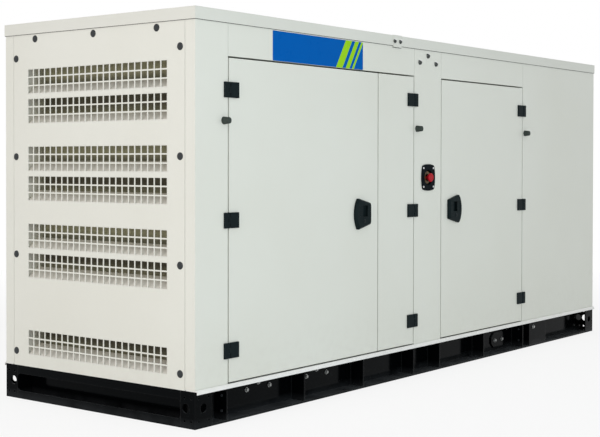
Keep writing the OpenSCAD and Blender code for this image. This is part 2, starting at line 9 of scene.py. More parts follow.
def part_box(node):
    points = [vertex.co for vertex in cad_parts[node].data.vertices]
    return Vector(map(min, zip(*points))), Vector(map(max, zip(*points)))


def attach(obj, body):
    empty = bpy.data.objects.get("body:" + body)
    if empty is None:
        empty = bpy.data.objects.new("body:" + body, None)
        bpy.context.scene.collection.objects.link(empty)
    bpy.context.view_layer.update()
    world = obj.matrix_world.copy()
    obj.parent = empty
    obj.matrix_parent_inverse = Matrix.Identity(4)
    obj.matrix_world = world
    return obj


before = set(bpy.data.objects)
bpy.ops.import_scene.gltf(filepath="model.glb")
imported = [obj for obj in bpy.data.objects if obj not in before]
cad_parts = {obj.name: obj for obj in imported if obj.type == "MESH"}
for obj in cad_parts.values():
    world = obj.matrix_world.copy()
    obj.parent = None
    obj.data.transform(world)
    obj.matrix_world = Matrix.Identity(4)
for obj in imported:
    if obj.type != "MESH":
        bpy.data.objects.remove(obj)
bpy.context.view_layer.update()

# ---- base frame ----
# Two side channels, two end channels, corner boxes, gussets and cross members of rolled steel are
# welded into one frame. It is sprayed with gloss black, which has gathered a little dust on its
# ledges. Its foot is paler, partly dust and partly painted light where the flanges shade the web, and
# a painted highlight runs along its upper rim.


class Socket:
    """One output of a shader node, so that shader maths reads as a Python expression."""

    def __init__(self, nodes, output):
        self.nodes = nodes
        self.output = output

    def maths(self, operation, *terms):
        return self.nodes.node("ShaderNodeMath", {"operation": operation}, dict(enumerate(terms)))

    def __add__(self, other):
        return self.maths("ADD", self, other)

    def __mul__(self, other):
        return self.maths("MULTIPLY", self, other)

    def __sub__(self, other):
        return self.maths("SUBTRACT", self, other)

    def __rsub__(self, other):
        return self.maths("SUBTRACT", other, self)

    def __gt__(self, other):
        return self.maths("GREATER_THAN", self, other)

    def __lt__(self, other):
        return self.maths("LESS_THAN", self, other)

    __radd__ = __add__
    __rmul__ = __mul__

    def between(self, low, high):
        """0 below low, 1 above high, and a straight ramp from one to the other."""
        return self.nodes.node("ShaderNodeMapRange", {"clamp": True},
                               {"Value": self, "From Min": low, "From Max": high})


class Nodes:
    """A node tree of a material or of the world."""

    def __init__(self, tree):
        self.tree = tree

    def node(self, kind, settings=None, inputs=None, output=0):
        """Adds a node: its settings first, then the values or links of its sockets."""
        made = self.tree.nodes.new(kind)
        for name, value in (settings or {}).items():
            setattr(made, name, value)
        self.feed(made, inputs or {})
        return Socket(self, made.outputs[output])

    def feed(self, made, inputs):
        for name, value in inputs.items():
            if isinstance(value, Socket):
                self.tree.links.new(value.output, made.inputs[name])
            else:
                made.inputs[name].default_value = value


class Finish(Nodes):
    """A material, with its Principled shader and the patterns that vary it over a surface."""

    def __init__(self, name, **constants):
        """The constants are the shader's own sockets, in small letters and with underscores for spaces."""
        self.material = bpy.data.materials.new(name)
        self.material.use_nodes = True
        super().__init__(self.material.node_tree)
        self.shader = self.tree.nodes["Principled BSDF"]
        self.place = self.node("ShaderNodeTexCoord", output="Object")
        sockets = {re.sub(r"[ .]", "_", socket.name).lower(): socket for socket in self.shader.inputs}
        for key, value in constants.items():
            sockets[key].default_value = value

    def set(self, inputs):
        self.feed(self.shader, inputs)

    def noise(self, per_metre, detail=2.0, roughness=0.5, output="Fac"):
        return self.node("ShaderNodeTexNoise", None,
                         {"Vector": self.place, "Scale": per_metre, "Detail": detail, "Roughness": roughness},
                         output)

    def blend(self, factor, first, second):
        """The first colour where factor is 0 and the second where it is 1."""
        return self.node("ShaderNodeMix", {"data_type": "RGBA", "clamp_factor": True},
                         {0: factor, 6: first, 7: second}, 2)

    def axes(self):
        return [self.node("ShaderNodeSeparateXYZ", None, {0: self.place}, axis) for axis in "XYZ"]

    def facing_up(self):
        normal = self.node("ShaderNodeNewGeometry", output="Normal")
        return self.node("ShaderNodeSeparateXYZ", None, {0: normal}, "Z").between(0.3, 0.95)

    def on_edge(self, radius):
        """1 within about that radius of an outer or inner edge, and 0 on the flats."""
        rounded = self.node("ShaderNodeBevel", {"samples": 4}, {"Radius": radius})
        flat = self.node("ShaderNodeNewGeometry", output="Normal")
        return (1 - self.node("ShaderNodeVectorMath", {"operation": "DOT_PRODUCT"}, {0: rounded, 1: flat},
                              "Value")).between(0.01, 0.16)

    def relief(self, height, depth, strength=1.0, edge=0.0):
        """Bump of that depth in metres, over edges that are rounded by edge."""
        inputs = {"Height": height, "Distance": depth, "Strength": strength}
        if edge:
            inputs["Normal"] = self.node("ShaderNodeBevel", {"samples": 4}, {"Radius": edge})
        self.set({"Normal": self.node("ShaderNodeBump", None, inputs)})


def dress(finish, *nodes):
    """Gives CAD nodes their finish."""
    for name in nodes:
        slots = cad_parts[name].data.materials
        slots.clear()
        slots.append(finish.material)


BASE_BLACK = (0.0012, 0.0016, 0.0019, 1)
# the pale of ledge dust, also used for the painted light at the foot and the painted highlight on the rim
DUST_AND_PAINTED_LIGHT = (0.058, 0.064, 0.068, 1)
PALE_FOOT_Z = (0.012, 0.042)
RIM_HIGHLIGHT_Z = (0.140, 0.147)
EDGE_R, RIM_R = 0.0022, 0.004

base_paint = Finish("gloss_black_paint", specular_ior_level=0.036, specular_tint=(0.82, 0.94, 1.0, 1),
                    coat_roughness=0.14)
drift = base_paint.noise(9.0, 4.0)
speckle = base_paint.noise(160.0, 3.0)
above_floor = base_paint.axes()[2]
# paler towards the foot: partly dust, partly painted light where the flanges shade the web
pale_foot = (1 - above_floor.between(*PALE_FOOT_Z)) * drift.between(0.2, 0.5) * 0.22
# painted highlight: the upper rim of the channels is painted paler, for the light its rounded edge catches
rim_highlight = base_paint.on_edge(RIM_R) * above_floor.between(*RIM_HIGHLIGHT_Z) * 0.9
# dust on the ledges, with the painted light at the foot and the painted highlight on the rim
dust_and_painted_light = base_paint.facing_up() * (drift.between(0.3, 0.75) * 0.5 + 0.35) + pale_foot + rim_highlight
base_paint.set({
    "Base Color": base_paint.blend(dust_and_painted_light, BASE_BLACK, DUST_AND_PAINTED_LIGHT),
    "Roughness": drift * 0.08 + dust_and_painted_light * 0.4 + 0.08,
    "Coat Weight": base_paint.on_edge(EDGE_R) * 0.35,
})
base_paint.relief(speckle * 0.6 + drift * 0.4, 0.0005, 0.25, EDGE_R)
dress(base_paint, "base_rail_front", "base_rail_back", "base_end_beams", "base_corners", "base_gussets",
      "base_brackets", "base_cross_members")

# ---- bolts in the side channels ----
# Zinc-plated hexagon bolts go through the channels' webs and carry the machinery's anti-vibration
# mounts. Each has a chamfered head and sits on a plain washer.

ZINC = (0.36, 0.37, 0.36, 1)
ZINC_WORN = (0.20, 0.21, 0.21, 1)
OUT_FRONT, OUT_BACK = Vector((0, -1, 0)), Vector((0, 1, 0))

zinc = Finish("zinc_plate", metallic=1.0)
tarnish = zinc.noise(240.0, 3.0)
zinc.set({"Base Color": zinc.blend(tarnish, ZINC, ZINC_WORN), "Roughness": tarnish * 0.25 + 0.24})
zinc.relief(tarnish, 0.0003, 0.4)


def turned(profile, steps=24):
    """A solid of revolution about Z, from its half outline as (radius, height) pairs from foot to top."""
    bm = bmesh.new()
    corners = [bm.verts.new((radius, 0, height)) for radius, height in profile]
    edges = [bm.edges.new(pair) for pair in zip(corners, corners[1:])]
    bmesh.ops.spin(bm, geom=corners + edges, cent=(0, 0, 0), axis=(0, 0, 1), angle=math.tau, steps=steps,
                   use_merge=True, use_duplicate=False)
    bmesh.ops.remove_doubles(bm, verts=bm.verts, dist=1e-6)
    bmesh.ops.recalc_face_normals(bm, faces=bm.faces)
    return bm


def joined(*parts):
    """One bmesh from several, each a (bmesh, matrix) pair."""
    whole = bmesh.new()
    for part, matrix in parts:
        copy = part.copy()
        copy.transform(matrix)
        mesh = bpy.data.meshes.new("part")
        copy.to_mesh(mesh)
        copy.free()
        whole.from_mesh(mesh)
        bpy.data.meshes.remove(mesh)
    return whole


def placed(template, spots):
    """Copies of a template whose Z points outwards, at (place, outward direction) pairs."""
    return joined(*((template, Matrix.Translation(spot) @ out.to_track_quat("Z", "Y").to_matrix().to_4x4())
                    for spot, out in spots))


SMOOTH_BELOW = math.radians(35)


def piece(name, bm, finish, body):
    """Makes a finished object of a bmesh, and lets it ride on a body."""
    mesh = bpy.data.meshes.new(name)
    for face in bm.faces:
        face.smooth = True
    for edge in bm.edges:
        edge.smooth = edge.is_manifold and edge.calc_face_angle(0) < SMOOTH_BELOW
    bm.to_mesh(mesh)
    bm.free()
    obj = bpy.data.objects.new(name, mesh)
    bpy.context.scene.collection.objects.link(obj)
    obj.data.materials.append(finish.material)
    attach(obj, body)


def hexagon(across, height, chamfer):
    """A bolt's head: a hexagonal prism whose top is chamfered all round."""
    bm = bmesh.new()
    bmesh.ops.create_cone(bm, cap_ends=True, segments=6, radius1=across / math.sqrt(3),
                          radius2=across / math.sqrt(3), depth=height)
    bmesh.ops.translate(bm, verts=bm.verts, vec=(0, 0, height / 2))
    top = [edge for edge in bm.edges if all(v.co.z > height * 0.9 for v in edge.verts)]
    bmesh.ops.bevel(bm, geom=top, offset=chamfer, segments=2, profile=0.5, affect="EDGES", material=-1)
    return bm


WASHER_R, WASHER_T, WASHER_CHAMFER = 0.011, 0.002, 0.0006
HEAD_ACROSS, HEAD_H, HEAD_CHAMFER = 0.014, 0.007, 0.0012
washer = turned([(0, 0), (WASHER_R, 0), (WASHER_R, WASHER_T - WASHER_CHAMFER),
                 (WASHER_R - WASHER_CHAMFER, WASHER_T), (0, WASHER_T)])
web_bolt = joined((washer, Matrix()),
                  (hexagon(HEAD_ACROSS, HEAD_H, HEAD_CHAMFER), Matrix.Translation((0, 0, WASHER_T))))

WEB_T = 0.006
web_y = WEB_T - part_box("base_rail_front")[1].y
wide_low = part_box("wide_door")[0]
single_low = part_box("single_door")[0]


def both_sides(x, y, z):
    """The same spot on the door side and on the back, with the way out of each."""
    return [(Vector((x, -y, z)), OUT_FRONT), (Vector((x, y, z)), OUT_BACK)]


# Two mounts each hang on three bolts in a flat triangle, of which the middle one is the highest.

MOUNT_IN = (0.2725, 0.6885)
MOUNT_REACH, MOUNT_Z, MOUNT_MIDDLE_Z = 0.0765, 0.095, 0.118
web_spots = []
for inwards in MOUNT_IN:
    for side in (-1, 0, 1):
        web_spots += both_sides(wide_low.x + inwards + side * MOUNT_REACH, web_y,
                                MOUNT_Z if side else MOUNT_MIDDLE_Z)

# The third hangs on a chamfered plate with two bolts.

MOUNT_PLATE_L, MOUNT_PLATE_H, MOUNT_PLATE_T, MOUNT_PLATE_CHAMFER = 0.152, 0.086, 0.008, 0.028
MOUNT_PLATE_IN, MOUNT_PLATE_Z, MOUNT_PLATE_REACH = 0.7245, 0.064, 0.040


def sheet(length, width):
    """One flat face round the origin."""
    bm = bmesh.new()
    bmesh.ops.create_grid(bm, x_segments=1, y_segments=1, size=0.5,
                          matrix=Matrix.Diagonal((length, width, 1, 1)))
    return bm


def thicken(bm, faces, thickness):
    """Raises flat faces into a solid of that thickness."""
    raised = bmesh.ops.extrude_face_region(bm, geom=faces)["geom"]
    bmesh.ops.translate(bm, verts=[v for v in raised if isinstance(v, bmesh.types.BMVert)],
                        vec=(0, 0, thickness))
    bmesh.ops.recalc_face_normals(bm, faces=bm.faces)


def flat_plate(length, width, thickness, corner, steps):
    """A plate whose corners are cut off in one step or rounded in several."""
    bm = sheet(length, width)
    bmesh.ops.bevel(bm, geom=bm.verts[:], offset=corner, segments=steps, profile=0.5, affect="VERTICES",
                    material=-1)
    thicken(bm, bm.faces[:], thickness)
    return bm


mount_plate = flat_plate(MOUNT_PLATE_L, MOUNT_PLATE_H, MOUNT_PLATE_T, MOUNT_PLATE_CHAMFER, 1)
mount_plate_x = single_low.x + MOUNT_PLATE_IN
piece("mount_plates", placed(mount_plate, both_sides(mount_plate_x, web_y, MOUNT_PLATE_Z)), base_paint,
      "canopy")
for side in (-1, 1):
    web_spots += both_sides(mount_plate_x + side * MOUNT_PLATE_REACH, web_y + MOUNT_PLATE_T, MOUNT_PLATE_Z)

# One bolt clamps the box bracket.

BRACKET_BOLT_IN, BRACKET_BOLT_Z = 0.048, 0.111
bracket_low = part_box("base_brackets")[0]
web_spots += both_sides(bracket_low.x + BRACKET_BOLT_IN, -bracket_low.y, BRACKET_BOLT_Z)
piece("web_bolts", placed(web_bolt, web_spots), zinc, "canopy")

# Two small earthing bolts, dulled by overspray, go through each outermost gusset.

EARTH_BOLT_Y, EARTH_BOLT_ZS = 0.556, (0.045, 0.108)
EARTH_BOLT_ACROSS, EARTH_BOLT_H = 0.010, 0.006
gusset_xs = sorted({round(v.co.x, 4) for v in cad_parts["base_gussets"].data.vertices})
oversprayed = Finish("oversprayed_zinc", specular_ior_level=0.1)
spray = oversprayed.noise(400.0, 3.0)
oversprayed.set({"Base Color": oversprayed.blend(spray, (0.006, 0.008, 0.009, 1), (0.040, 0.044, 0.048, 1)),
                 "Roughness": spray * 0.2 + 0.35})
earth_spots = [(Vector((x, side * EARTH_BOLT_Y, z)), Vector((-1, 0, 0)))
               for x in (gusset_xs[0], gusset_xs[-2]) for side in (-1, 1) for z in EARTH_BOLT_ZS]
piece("earth_bolts", placed(hexagon(EARTH_BOLT_ACROSS, EARTH_BOLT_H, HEAD_CHAMFER), earth_spots), oversprayed,
      "canopy")

# A rippled weld bead runs down each gusset where it meets the web.

BEAD_R, BEAD_RIPPLE, RIPPLES = 0.0055, 0.0006, 22
bead_low, bead_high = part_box("base_gussets")
bead_l = bead_high.z - bead_low.z
bead = turned([(0, 0)] + [(BEAD_R - BEAD_RIPPLE * (step % 2), bead_l * step / (2 * RIPPLES))
                          for step in range(2 * RIPPLES + 1)] + [(0, bead_l)], 10)
piece("gusset_welds", joined(*((bead, Matrix.Translation((x, side * web_y, bead_low.z)))
                               for x in gusset_xs for side in (-1, 1))), base_paint, "canopy")

# ---- floor plate ----
# A sheet of steel laid over the cross members, under the machinery. It is painted with the frame
# and dulled by dust.

floor_paint = Finish("floor_paint", specular_ior_level=0.4)
scuff = floor_paint.noise(14.0, 5.0)
floor_paint.set({
    "Base Color": floor_paint.blend(scuff, (0.014, 0.016, 0.017, 1), (0.045, 0.046, 0.044, 1)),
    "Roughness": scuff * 0.3 + 0.45,
})
floor_paint.relief(floor_paint.noise(220.0, 2.0), 0.0004, 0.4)
dress(floor_paint, "floor_plate")

# ---- wall panels and sill ----
# Trays of 2 mm sheet steel, folded 40 mm deep and bolted edge to edge. The powder coat is off-white,
# with the fine orange peel that baking leaves.

COAT = (0.760, 0.785, 0.717, 1)
COAT_WARM = (0.727, 0.748, 0.673, 1)
COAT_SOILED = (0.60, 0.59, 0.53, 1)
SPLASH_Z = (0.15, 0.45)


def powder_coat(name, light, warm):
    """Off-white powder coat: faint clouds, a breath of dust low down, and orange peel."""
    coat = Finish(name, specular_ior_level=0.45, coat_roughness=0.25)
    clouds = coat.noise(1.3, 3.0)
    grime = coat.noise(24.0, 5.0, 0.6)
    height = coat.axes()[2]
    low_down = (1 - height.between(*SPLASH_Z)) * grime.between(0.45, 0.8) * 0.22
    tone = coat.blend(clouds.between(0.3, 0.7), light, warm)
    coat.set({
        "Base Color": coat.blend(low_down, tone, COAT_SOILED),
        "Roughness": grime * 0.12 + low_down * 0.5 + 0.3,
        "Coat Weight": 0.12 - low_down * 0.4,
    })
    peel = coat.noise(520.0, 2.0)
    wave = coat.noise(3.5, 1.0)
    coat.relief(peel * 0.12 + wave * 0.88, 0.0016, 0.35, 0.0016)
    return coat


wall_coat = powder_coat("off_white_powder_coat", COAT, COAT_WARM)
dress(wall_coat, "front_left_panel", "front_wide_header", "front_centre_post", "front_single_header",
      "front_right_panel", "back_left_panel", "back_wide_header", "back_centre_post", "back_single_header",
      "back_right_panel")
# The sill's coat is painted paler than the walls': a painted highlight for the light its top and front catch.
highlit_sill_coat = powder_coat("sill_powder_coat", (0.90, 0.91, 0.885, 1), (0.87, 0.88, 0.85, 1))
dress(highlit_sill_coat, "sill_strips")

# Dome-headed zinc bolts hold the lifting points behind the centre posts: one under the roof and a
# pair below it. Their upper right sides are painted as a bright highlight, and the rest is painted
# dark as shade.

HIGHLIGHT_FROM = (0.5, 0.0, 0.85)
DOME_FLANGE, DOME_TAPER = 0.0016, 0.96
POST_BOLT_R, POST_BOLT_H = 0.0145, 0.010
POST_BOLT_PLACES = ((0.0, 0.075), (-0.076, 0.112), (0.076, 0.112))

highlit_zinc = Finish("bright_zinc_dome", metallic=1.0)
scratch = highlit_zinc.noise(300.0, 3.0)
outward = highlit_zinc.node("ShaderNodeNewGeometry", output="Normal")
toward_highlight = highlit_zinc.node("ShaderNodeVectorMath", {"operation": "DOT_PRODUCT"},
                             {0: outward, 1: HIGHLIGHT_FROM}, "Value")
painted_highlight = toward_highlight.between(0.14, 0.28)
# painted highlight and shade: pale, half-metal paint where the surface faces up and right, dark metal
# elsewhere
highlit_zinc.set({
    "Base Color": highlit_zinc.blend(painted_highlight, (0.060, 0.066, 0.064, 1), (0.95, 0.96, 0.95, 1)),
    "Metallic": 1 - painted_highlight * 0.8,
    "Roughness": scratch * 0.15 + 0.18,
})


def dome_head(radius, height):
    """A domed head on its thin flange, with a quarter ellipse for its outline."""
    turns = [math.radians(15 * step) for step in range(7)]
    dome = [(radius * DOME_TAPER * math.cos(turn), DOME_FLANGE + (height - DOME_FLANGE) * math.sin(turn))
            for turn in turns]
    return turned([(0, 0), (radius, 0)] + dome, 28)


post_low, post_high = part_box("front_centre_post")
post_x = (post_low.x + post_high.x) / 2
post_spots = []
for across, below_top in POST_BOLT_PLACES:
    post_spots += both_sides(post_x + across, -post_low.y, post_high.z - below_top)
piece("post_bolts", placed(dome_head(POST_BOLT_R, POST_BOLT_H), post_spots), highlit_zinc, "canopy")

# ---- end panels, grilles and caps ----
# The same coated sheet closes both ends. Its windows hold strips punched with square holes, through
# which the cooling air passes.

dress(wall_coat, "end_panel_left", "end_panel_right", "end_grille_left", "end_grille_right")

# Low domed caps of black nylon are pressed over the bolts that hold each end panel to its neighbours.

nylon = Finish("black_nylon", roughness=0.42, specular_ior_level=0.25)
nylon_cloud = nylon.noise(90.0, 2.0)
nylon.set({"Base Color": nylon.blend(nylon_cloud, (0.030, 0.036, 0.038, 1), (0.022, 0.026, 0.028, 1))})
nylon.relief(nylon.noise(1400.0, 1.0), 0.0002, 0.4)

CAP_OUTLINE = ((0, 0), (0.0157, 0), (0.0158, 0.0010), (0.0148, 0.0022), (0.0118, 0.0032), (0.0062, 0.0038),
               (0, 0.0039))
CAP_ROW_DROP, CAP_ROW_REACH, CAP_ROW_SHIFT = 0.071, 0.374, 0.0055
CAP_COLUMN_DOOR_IN, CAP_COLUMN_BACK_IN = 0.0255, 0.0165
CAP_COLUMN_DROPS = (0.1535, 0.592, 1.029, 1.4635)
cap = turned(CAP_OUTLINE, 32)
end_low, end_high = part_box("end_panel_left")
cap_places = [(CAP_ROW_SHIFT + offset, CAP_ROW_DROP) for offset in (-CAP_ROW_REACH, 0.0, CAP_ROW_REACH)]
cap_places += [(y, drop) for y in (end_low.y + CAP_COLUMN_DOOR_IN, end_high.y - CAP_COLUMN_BACK_IN)
               for drop in CAP_COLUMN_DROPS]
for end, sign in (("left", -1), ("right", 1)):
    cap_spots = [(Vector((sign * abs(end_low.x), y, end_high.z - drop)), Vector((sign, 0, 0)))
                 for y, drop in cap_places]
    piece(f"{end}_end_caps", placed(cap, cap_spots), nylon, "canopy")

# ---- air boxes ----
# Behind each grille, cheeks and a sloping deflector of light coated sheet lead the air upwards, and
# foam boards close the box towards the engine.

BOX_DEPTH = 0.10
DUCT_NEAR_GRILLE = (0.86, 0.855, 0.785, 1)
DUCT_SHADED_DEEP = (0.37, 0.36, 0.25, 1)


def depth_behind_grille(finish):
    """0 at the grille and 1 at the foam board, at either end."""
    along = finish.axes()[0]
    return (abs(end_low.x) - along.maths("ABSOLUTE", along)).between(0.0, BOX_DEPTH)


# The sheet is painted darker the deeper it lies behind the grille: painted shade inside the box, broken up by
# random streaks.
duct_sheet = Finish("coated_duct_sheet", specular_ior_level=0.4)
streaks = duct_sheet.noise(26.0, 4.0)
shade_and_streaks = depth_behind_grille(duct_sheet) + streaks * 0.2 - 0.1
duct_sheet.set({
    "Base Color": duct_sheet.blend(shade_and_streaks, DUCT_NEAR_GRILLE, DUCT_SHADED_DEEP),
    "Roughness": streaks * 0.2 + 0.4,
})
duct_sheet.relief(streaks, 0.0003, 0.3)
dress(duct_sheet, "air_box_left", "air_box_right", "air_blades_left", "air_blades_right")

# The foam board behind is ochre, with painted light and shade in bands behind each grille strip: paler where
# light comes through the holes, darker in the shadow of the strips and deflectors above.

BOARD_LIT = (0.36, 0.355, 0.225, 1)
BOARD_HALF_SHADED = (0.175, 0.175, 0.118, 1)
BOARD_SHADED = (0.10, 0.093, 0.066, 1)
FOAM_CELLS, FOAM_CELL_DEPTH = 420.0, 0.0022
BAND_H, BAND_REACH = 0.112, 1.6
UPPER_BANDS = (0.678, 1.021, 1.364)
LOWER_BANDS = (0.204, 0.547, 0.890, 1.233)
# painted light and shade, band by band, at shares of each strip's height
painted_light_bands = [(foot + share * BAND_H, tone) for foot in UPPER_BANDS
          for share, tone in ((0.30, BOARD_HALF_SHADED), (0.50, BOARD_HALF_SHADED), (0.75, BOARD_LIT))]
painted_light_bands += [(foot + share * BAND_H, tone) for foot in LOWER_BANDS
           for share, tone in ((0.25, BOARD_LIT), (0.55, BOARD_HALF_SHADED), (0.75, BOARD_SHADED))]


def ramp(finish, factor, stops):
    """A colour from (position, colour) stops, in order."""
    made = finish.tree.nodes.new("ShaderNodeValToRGB")
    elements = made.color_ramp.elements
    while len(elements) < len(stops):
        elements.new(1.0)
    for element, (position, colour) in zip(elements, stops):
        element.position = position
        element.color = colour
    finish.feed(made, {"Fac": factor})
    return Socket(finish, made.outputs["Color"])


def open_cells(finish):
    """The cells of open-cell foam, which dent its surface."""
    cells = finish.node("ShaderNodeTexVoronoi", None, {"Vector": finish.place, "Scale": FOAM_CELLS},
                        "Distance")
    finish.relief(cells, FOAM_CELL_DEPTH, 0.8)
    return cells


board_foam = Finish("air_board_foam", specular_ior_level=0.1, roughness=0.95)
open_cells(board_foam)
board_cloud = board_foam.noise(9.0, 4.0)
board_height = board_foam.axes()[2] + board_cloud * 0.02 - 0.01
board_foam.set({"Base Color": ramp(board_foam, board_height * (1 / BAND_REACH),
                                   [(z / BAND_REACH, tone) for z, tone in sorted(painted_light_bands)])})
dress(board_foam, "air_baffles")

# ---- foam linings ----
# Boards of dark open-cell foam are glued into the trays of the walls, roof and doors, and damp the
# engine's noise.

foam = Finish("acoustic_foam", specular_ior_level=0.2, roughness=0.95)
oil_stain = foam.noise(7.0, 4.0)
foam.set({"Base Color": foam.blend(open_cells(foam) * 0.6 + oil_stain * 0.5,
                                   (0.026, 0.024, 0.017, 1), (0.105, 0.098, 0.067, 1))})
dress(foam, "wall_lining", "roof_lining", "wide_door_lining", "slim_door_lining", "single_door_lining")

# ---- roof ----
# Two trays of the same coated sheet lap the walls. A folded strip covers the joint between them and
# is bolted down at both ends.

roof_coat = powder_coat("roof_powder_coat", (0.724, 0.748, 0.687, 1), (0.690, 0.710, 0.644, 1))
dress(roof_coat, "roof_left", "roof_right", "roof_joint_strip")

# Two zinc bolts at each end of the strip draw it down on both trays.

strip_low, strip_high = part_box("roof_joint_strip")
strip_x = (strip_low.x + strip_high.x) / 2
STRIP_BOLT_REACH, STRIP_BOLT_DROP = 0.0245, 0.029
STRIP_BOLT_R, STRIP_BOLT_H = 0.0115, 0.008
strip_spots = []
for side in (-1, 1):
    strip_spots += both_sides(strip_x + side * STRIP_BOLT_REACH, strip_high.y, strip_high.z - STRIP_BOLT_DROP)
piece("roof_strip_bolts", placed(dome_head(STRIP_BOLT_R, STRIP_BOLT_H), strip_spots), highlit_zinc, "canopy")

# A thin dark strip lies under the roof's rim all the way round, and under the strip's two ends: painted shade
# for the shadow gap between roof and walls.

SHADE_W, SHADE_T, SHADE_IN = 0.0035, 0.0014, 0.0005
# painted shade: a near-black finish for the strip
gap_shade = Finish("dark_sealant", specular_ior_level=0.1)
shade_mottle = gap_shade.noise(60.0, 3.0)
gap_shade.set({"Base Color": gap_shade.blend(shade_mottle, (0.016, 0.017, 0.016, 1), (0.034, 0.035, 0.032, 1)),
             "Roughness": shade_mottle * 0.2 + 0.6})
roof_low, roof_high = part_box("roof_right")
rim_shade = sheet(2 * (roof_high.x - SHADE_IN), 2 * (roof_high.y - SHADE_IN))
border = bmesh.ops.inset_region(rim_shade, faces=rim_shade.faces[:], thickness=SHADE_W, use_boundary=True,
                                use_even_offset=True)["faces"]
bmesh.ops.delete(rim_shade, geom=[face for face in rim_shade.faces if face not in border], context="FACES")
thicken(rim_shade, border, SHADE_T)
strip_shade = sheet(strip_high.x - strip_low.x, strip_high.y - post_high.y)
thicken(strip_shade, strip_shade.faces[:], SHADE_T)
shade_parts = [(rim_shade, Matrix.Translation((0, 0, roof_low.z - SHADE_T)))]
for side in (-1, 1):
    under_strip = (strip_x, side * (strip_high.y + post_high.y) / 2, strip_low.z - SHADE_T)
    shade_parts.append((strip_shade, Matrix.Translation(under_strip)))
piece("roof_seal", joined(*shade_parts), gap_shade, "canopy")

# ---- doors ----
# Each leaf is a shallow tray of the same sheet and powder coat, lined with foam, and hung on three
# hinges.

dress(wall_coat, "wide_door", "slim_door", "single_door", "back_doors")

# ---- hinges ----
# Cast zinc-alloy leaves with a satin black coat. They are screwed to the doors and the posts from
# behind, so that no screw shows.

PALE_EDGE_BLACK = (0.055, 0.066, 0.070, 1)
PALE_EDGE_R = 0.0012


def moulded_black(name, light, dark, gloss):
    """Black with a fine satin grain, and a little paler along its edges."""
    black = Finish(name, specular_ior_level=gloss)
    cloud = black.noise(60.0, 3.0)
    pale_edges = black.on_edge(PALE_EDGE_R) * 0.5
    black.set({
        "Base Color": black.blend(pale_edges, black.blend(cloud, dark, light), PALE_EDGE_BLACK),
        "Roughness": cloud * 0.15 + 0.34,
    })
    black.relief(black.noise(1100.0, 2.0), 0.0002, 0.5, 0.0010)
    return black


fitting_black = moulded_black("satin_black_fitting", (0.0100, 0.0168, 0.0182, 1),
                              (0.0074, 0.0132, 0.0146, 1), 0.028)
dress(fitting_black, "post_hinge_leaves", "back_hinges", "wide_door_hinges", "slim_door_hinges",
      "single_door_hinges")

# ---- door handles ----
# Moulded housings with a sprung paddle in a pocket, and a key cylinder below. They are black
# glass-filled nylon, bolted through the doors.

dress(fitting_black, "wide_door_handle", "wide_door_paddle", "single_door_handle", "single_door_paddle",
      "back_handles")

# A dull pressed rim protects the face of each key cylinder. The back handles carry the same.

KEY_DROP = 0.033
KEY_RIM_OUTLINE = ((0.0050, 0), (0.0084, 0), (0.0082, 0.0004), (0.0076, 0.0006), (0.0056, 0.0006),
                   (0.0050, 0))
key_metal = moulded_black("dull_key_metal", (0.024, 0.029, 0.031, 1), (0.015, 0.019, 0.021, 1), 0.05)
key_rim = turned(KEY_RIM_OUTLINE, 28)
for leaf in ("wide", "single"):
    handle_low, handle_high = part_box(f"{leaf}_door_handle")
    door_spot, back_spot = both_sides((handle_low.x + handle_high.x) / 2, -handle_low.y,
                                      (handle_low.z + handle_high.z) / 2 - KEY_DROP)
    piece(f"{leaf}_key_rim", placed(key_rim, [door_spot]), key_metal, f"{leaf}_door")
    piece(f"back_{leaf}_key_rim", placed(key_rim, [back_spot]), key_metal, "canopy")

# ---- rubber stops ----
# Tapered buffers of dark rubber, screwed to the posts and side panels. An open door comes to rest on
# them.

rubber = Finish("dark_rubber", specular_ior_level=0.2)
bloom = rubber.noise(70.0, 4.0)
rubber.set({
    "Base Color": rubber.blend(bloom, (0.030, 0.042, 0.036, 1), (0.048, 0.060, 0.053, 1)),
    "Roughness": bloom * 0.2 + 0.6,
})
rubber.relief(rubber.noise(600.0, 2.0), 0.0003, 0.5, 0.0012)
dress(rubber, "rubber_stops")

# ---- emergency stop ----
# A black moulded bezel with a recess, four light screws, and a red mushroom head that is pushed to
# stop the set.

bezel_black = moulded_black("black_bezel", (0.0020, 0.0052, 0.0076, 1), (0.0012, 0.0038, 0.0060, 1), 0.024)
dress(bezel_black, "estop_bezel")

stop_red = Finish("signal_red", specular_ior_level=0.08, coat_weight=0.02, coat_roughness=0.1)
red_cloud = stop_red.noise(120.0, 2.0)
stop_red.set({
    "Base Color": stop_red.blend(red_cloud, (0.46, 0.012, 0.023, 1), (0.39, 0.009, 0.017, 1)),
    "Roughness": red_cloud * 0.1 + 0.22,
})
stop_red.relief(red_cloud, 0.0003, 0.2, 0.0010)
dress(stop_red, "estop_button")

bezel_low, bezel_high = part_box("estop_bezel")
bezel_x, bezel_z = (bezel_low.x + bezel_high.x) / 2, (bezel_low.z + bezel_high.z) / 2
SCREW_REACH, SCREW_RISE = 0.046, 0.047
SCREW_OUTLINE = ((0, 0), (0.0055, 0), (0.0053, 0.0010), (0.0040, 0.0022), (0, 0.0027))
screw_spots = [(Vector((bezel_x + across * SCREW_REACH, bezel_low.y, bezel_z + up * SCREW_RISE)), OUT_FRONT)
               for across in (-1, 1) for up in (-1, 1)]
stainless = Finish("stainless_steel", metallic=1.0)
rub = stainless.noise(300.0, 2.0)
stainless.set({"Base Color": stainless.blend(rub, (0.62, 0.63, 0.64, 1), (0.50, 0.51, 0.52, 1)),
               "Roughness": rub * 0.15 + 0.22})
piece("stop_screws", placed(turned(SCREW_OUTLINE, 20), screw_spots), stainless, "canopy")

# A yellow collar stands in the recess, round the bush, as on every emergency stop. Its yellow is darkened to
# brown as painted shade of the recess.

